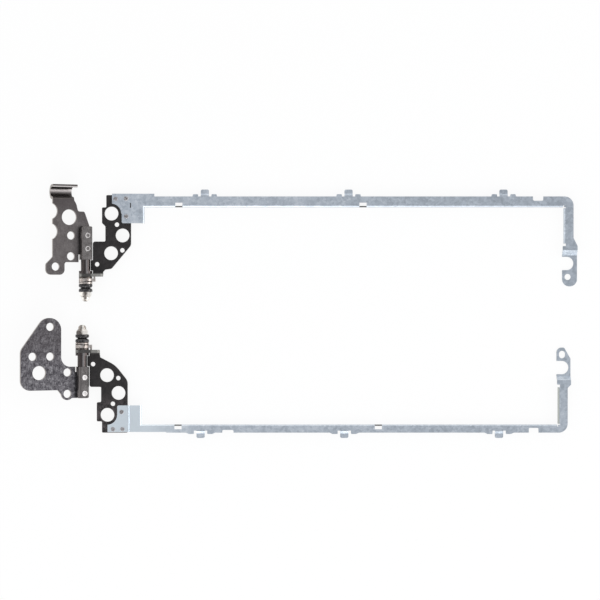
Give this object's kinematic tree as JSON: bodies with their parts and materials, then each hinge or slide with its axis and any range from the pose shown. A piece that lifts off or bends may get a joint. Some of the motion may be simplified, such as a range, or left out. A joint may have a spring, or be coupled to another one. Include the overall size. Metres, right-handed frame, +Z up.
{
  "type": "laptop hinge pair",
  "caption": "Pair of laptop hinges: slotted base brackets on friction shafts, black display brackets, and long galvanised rails with clips and screw hooks that carry the screen panel.",
  "frame": {"origin": "middle of the underside of the pair's bounding box, on the table it lies on", "axes": "+X along the rails, away from the hinge axes; +Y from the right hinge to the left hinge, along both hinge axes; +Z up from the table"},
  "size_m": [0.246, 0.1124, 0.0145],
  "materials": {
    "base_plating": "satin, mottled grey plating",
    "black_plating": "satin black",
    "galvanised": "galvanised, fine spangle",
    "rivet_grey": "satin",
    "shaft_grey": "satin",
    "dark_washer": "satin, oiled",
    "nickel": "semi-bright",
    "spring_black": "oiled black",
    "bright_nickel": "bright"
  },
  "bodies": {
    "display_arms": {"left_display_bracket": "black_plating", "right_display_bracket": "black_plating", "left_rail": "galvanised", "right_rail": "galvanised", "left_rail_rivets": "rivet_grey", "right_rail_rivets": "rivet_grey", "left_friction_washer": "dark_washer", "left_tabbed_washer": "nickel", "right_friction_washer": "dark_washer", "right_tabbed_washer": "nickel"},
    "left_base": {"left_base_bracket": "base_plating", "left_shaft_rivets": "rivet_grey", "left_shaft": "shaft_grey", "left_keyed_washer": "nickel", "left_disc_spring_inner": "spring_black", "left_disc_spring_outer": "spring_black", "left_nut": "bright_nickel"},
    "right_base": {"right_base_bracket": "base_plating", "right_shaft_rivets": "bright_nickel", "right_shaft": "shaft_grey", "right_keyed_washer": "nickel", "right_disc_spring_inner": "spring_black", "right_disc_spring_outer": "spring_black", "right_nut": "bright_nickel"}
  },
  "joints": [
    {"name": "left_pivot", "type": "hinge", "parent": "display_arms", "child": "left_base", "pos_m": [-0.0952, 0.0154, 0.0035], "axis": [0, 1, 0], "range_deg": [-26, 154]},
    {"name": "right_pivot", "type": "hinge", "parent": "display_arms", "child": "right_base", "pos_m": [-0.0967, -0.017, 0.0035], "axis": [0, 1, 0], "range_deg": [-26, 154]}
  ]
}
